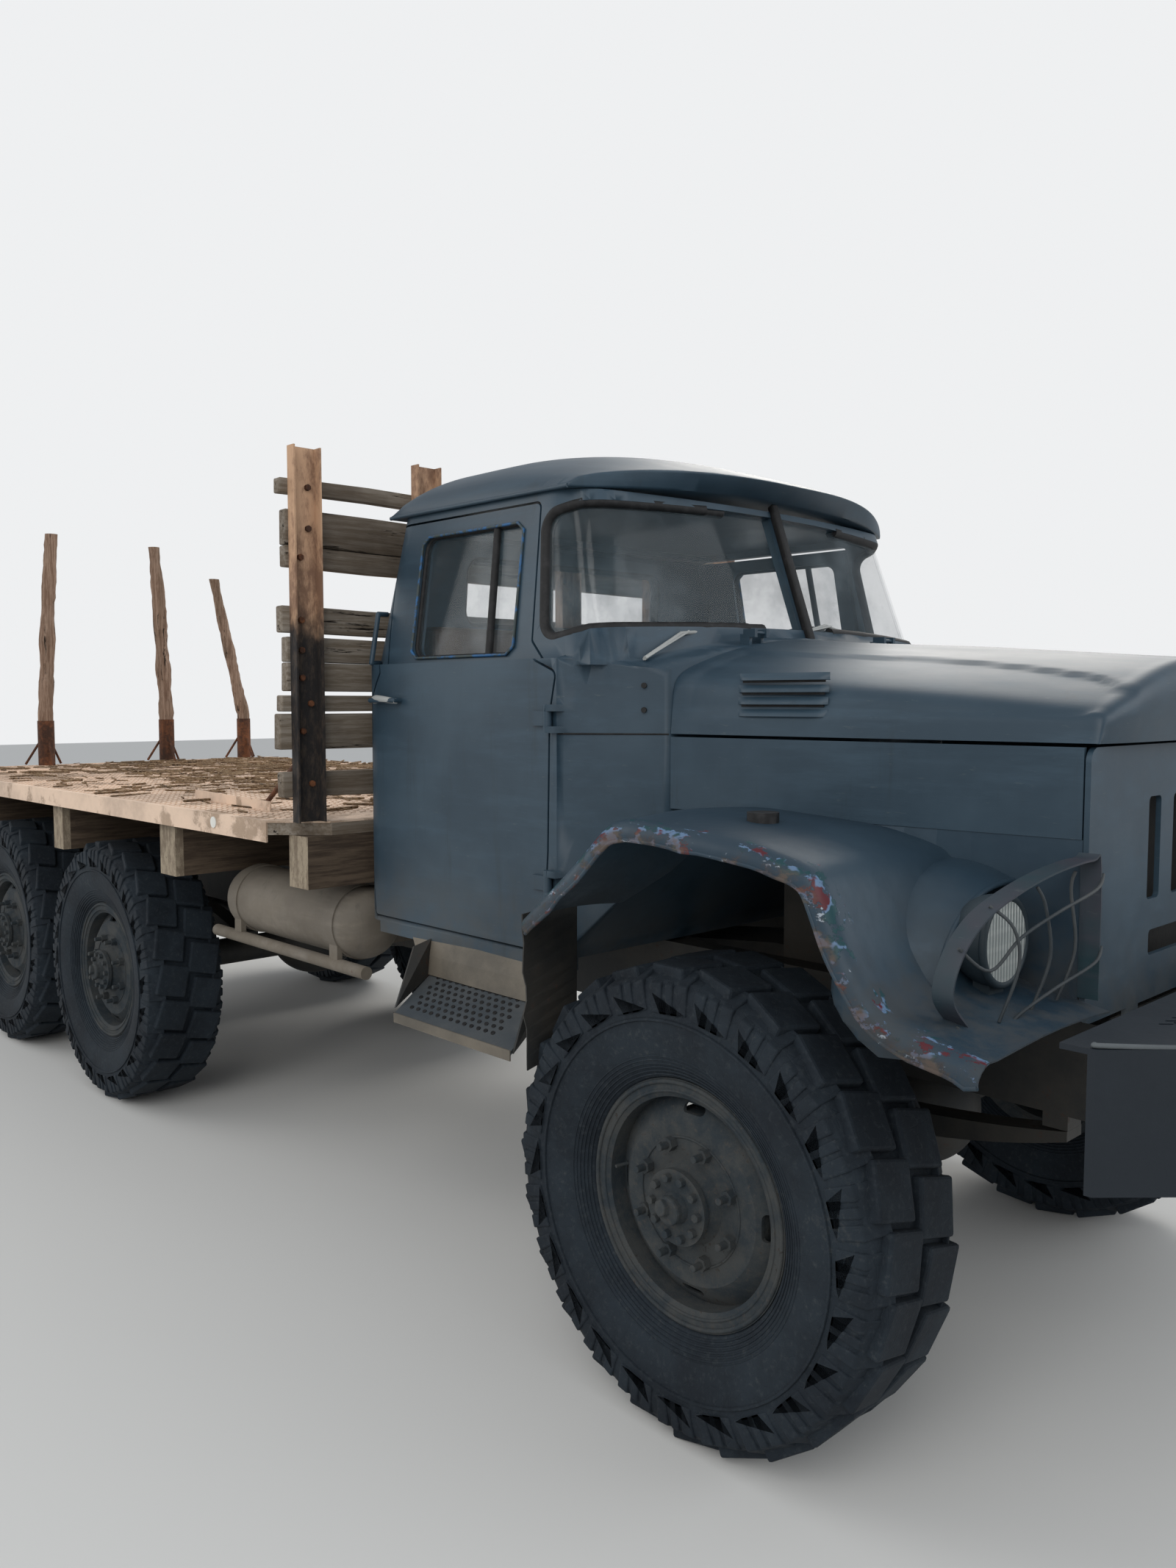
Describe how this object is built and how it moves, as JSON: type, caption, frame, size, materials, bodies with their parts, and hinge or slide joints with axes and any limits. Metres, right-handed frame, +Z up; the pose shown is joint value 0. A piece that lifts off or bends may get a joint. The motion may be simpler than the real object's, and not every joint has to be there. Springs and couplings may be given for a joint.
{
  "type": "truck",
  "caption": "Bonneted six-wheel-drive army truck with a home-made flat timber and steel deck, slatted headboard and rear stakes",
  "frame": {"origin": "under the middle of the overall length, on the ground, on the centre line", "axes": "+X forward, +Y the driver's side (left), +Z up"},
  "size_m": [7, 2.3, 2.7259],
  "materials": {
    "cab_paint": "faded matt",
    "frame_paint": "dusty black",
    "wheel_paint": "dusty matt",
    "tyre_rubber": "dusty rubber",
    "engine_iron": "oily",
    "radiator_brass": "matt black",
    "lamp_body": "faded matt",
    "lamp_glass": "ribbed",
    "black_plastic": "worn",
    "seat_vinyl": "worn",
    "window_glass": "clear",
    "cylinder_paint": "chalky",
    "tank_paint": "faded matt",
    "deck_steel": "rusty plate",
    "old_timber": "weathered grey",
    "rusty_steel": "rusty"
  },
  "bodies": {
    "chassis": {"cab_shell": "cab_paint", "cab_roof": "cab_paint", "hood_sides": "cab_paint", "fenders": "cab_paint", "grille_panel": "cab_paint", "cab_steps": "cab_paint", "frame_rails": "frame_paint", "front_bumper": "frame_paint", "front_axle": "frame_paint", "rear_axles": "frame_paint", "leaf_springs": "frame_paint", "gearboxes": "frame_paint", "lamp_guards": "frame_paint", "engine_block": "engine_iron", "radiator": "radiator_brass", "headlamps": "lamp_body", "lamp_lenses": "lamp_glass", "signal_bases": "black_plastic", "dashboard": "black_plastic", "seats": "seat_vinyl", "cab_glass": "window_glass", "gas_cylinder": "cylinder_paint", "fuel_tank": "tank_paint", "deck_plate": "deck_steel", "deck_angle": "deck_steel", "deck_boards": "old_timber", "deck_beams": "old_timber", "headboard_planks": "old_timber", "stakes": "old_timber", "headboard_posts": "rusty_steel", "headboard_brace": "rusty_steel", "stake_sockets": "rusty_steel"},
    "door_right": {"door_right": "cab_paint", "door_glass_right": "window_glass"},
    "door_left": {"door_left": "cab_paint", "door_glass_left": "window_glass"},
    "hood": {"hood": "cab_paint"},
    "steering_wheel": {"steering_wheel": "black_plastic"},
    "knuckle_right": {"knuckle_right": "frame_paint"},
    "knuckle_left": {"knuckle_left": "frame_paint"},
    "track_rod": {"track_rod": "frame_paint"},
    "wheel_front_right": {"tyre_front_right": "tyre_rubber", "wheel_front_right": "wheel_paint"},
    "wheel_front_left": {"tyre_front_left": "tyre_rubber", "wheel_front_left": "wheel_paint"},
    "wheel_mid_right": {"tyre_mid_right": "tyre_rubber", "wheel_mid_right": "wheel_paint"},
    "wheel_mid_left": {"tyre_mid_left": "tyre_rubber", "wheel_mid_left": "wheel_paint"},
    "wheel_rear_right": {"tyre_rear_right": "tyre_rubber", "wheel_rear_right": "wheel_paint"},
    "wheel_rear_left": {"tyre_rear_left": "tyre_rubber", "wheel_rear_left": "wheel_paint"}
  },
  "joints": [
    {"name": "steer_right", "type": "hinge", "parent": "chassis", "child": "knuckle_right", "pos_m": [2.3, -0.75, 0.56], "axis": [0, 0, 1], "range_deg": [-28, 28]},
    {"name": "steer_left", "type": "hinge", "parent": "chassis", "child": "knuckle_left", "pos_m": [2.3, 0.75, 0.56], "axis": [0, 0, 1], "range_deg": [-28, 28]},
    {"name": "track_rod_pivot", "type": "hinge", "parent": "knuckle_right", "child": "track_rod", "pos_m": [2.06, -0.665, 0.5], "axis": [0, 0, 1], "range_deg": [-32, 32]},
    {"name": "steering_wheel_turn", "type": "hinge", "parent": "chassis", "child": "steering_wheel", "pos_m": [1.42, 0.4, 1.85], "axis": [-0.5299, 0, 0.848], "range_deg": [-560, 560]},
    {"name": "door_right_hinge", "type": "hinge", "parent": "chassis", "child": "door_right", "pos_m": [1.678, -0.894, 1.45], "axis": [0, 0, 1], "range_deg": [0, 65]},
    {"name": "door_left_hinge", "type": "hinge", "parent": "chassis", "child": "door_left", "pos_m": [1.678, 0.894, 1.45], "axis": [0, 0, -1], "range_deg": [0, 65]},
    {"name": "hood_hinge", "type": "hinge", "parent": "chassis", "child": "hood", "pos_m": [1.9545, 0, 1.917], "axis": [0, -1, 0], "range_deg": [0, 50]},
    {"name": "spin_front_right", "type": "hinge", "parent": "knuckle_right", "child": "wheel_front_right", "pos_m": [2.3, -0.91, 0.56], "axis": [0, 1, 0], "continuous": true},
    {"name": "spin_front_left", "type": "hinge", "parent": "knuckle_left", "child": "wheel_front_left", "pos_m": [2.3, 0.91, 0.56], "axis": [0, 1, 0], "continuous": true},
    {"name": "spin_mid_right", "type": "hinge", "parent": "chassis", "child": "wheel_mid_right", "pos_m": [-1.05, -0.91, 0.56], "axis": [0, 1, 0], "continuous": true},
    {"name": "spin_mid_left", "type": "hinge", "parent": "chassis", "child": "wheel_mid_left", "pos_m": [-1.05, 0.91, 0.56], "axis": [0, 1, 0], "continuous": true},
    {"name": "spin_rear_right", "type": "hinge", "parent": "chassis", "child": "wheel_rear_right", "pos_m": [-2.3, -0.91, 0.56], "axis": [0, 1, 0], "continuous": true},
    {"name": "spin_rear_left", "type": "hinge", "parent": "chassis", "child": "wheel_rear_left", "pos_m": [-2.3, 0.91, 0.56], "axis": [0, 1, 0], "continuous": true}
  ],
  "couplings": [
    {"joint": "steer_left", "follows": "steer_right", "ratio": 1},
    {"joint": "track_rod_pivot", "follows": "steer_right", "ratio": -1.12},
    {"joint": "steering_wheel_turn", "follows": "steer_right", "ratio": 20}
  ]
}
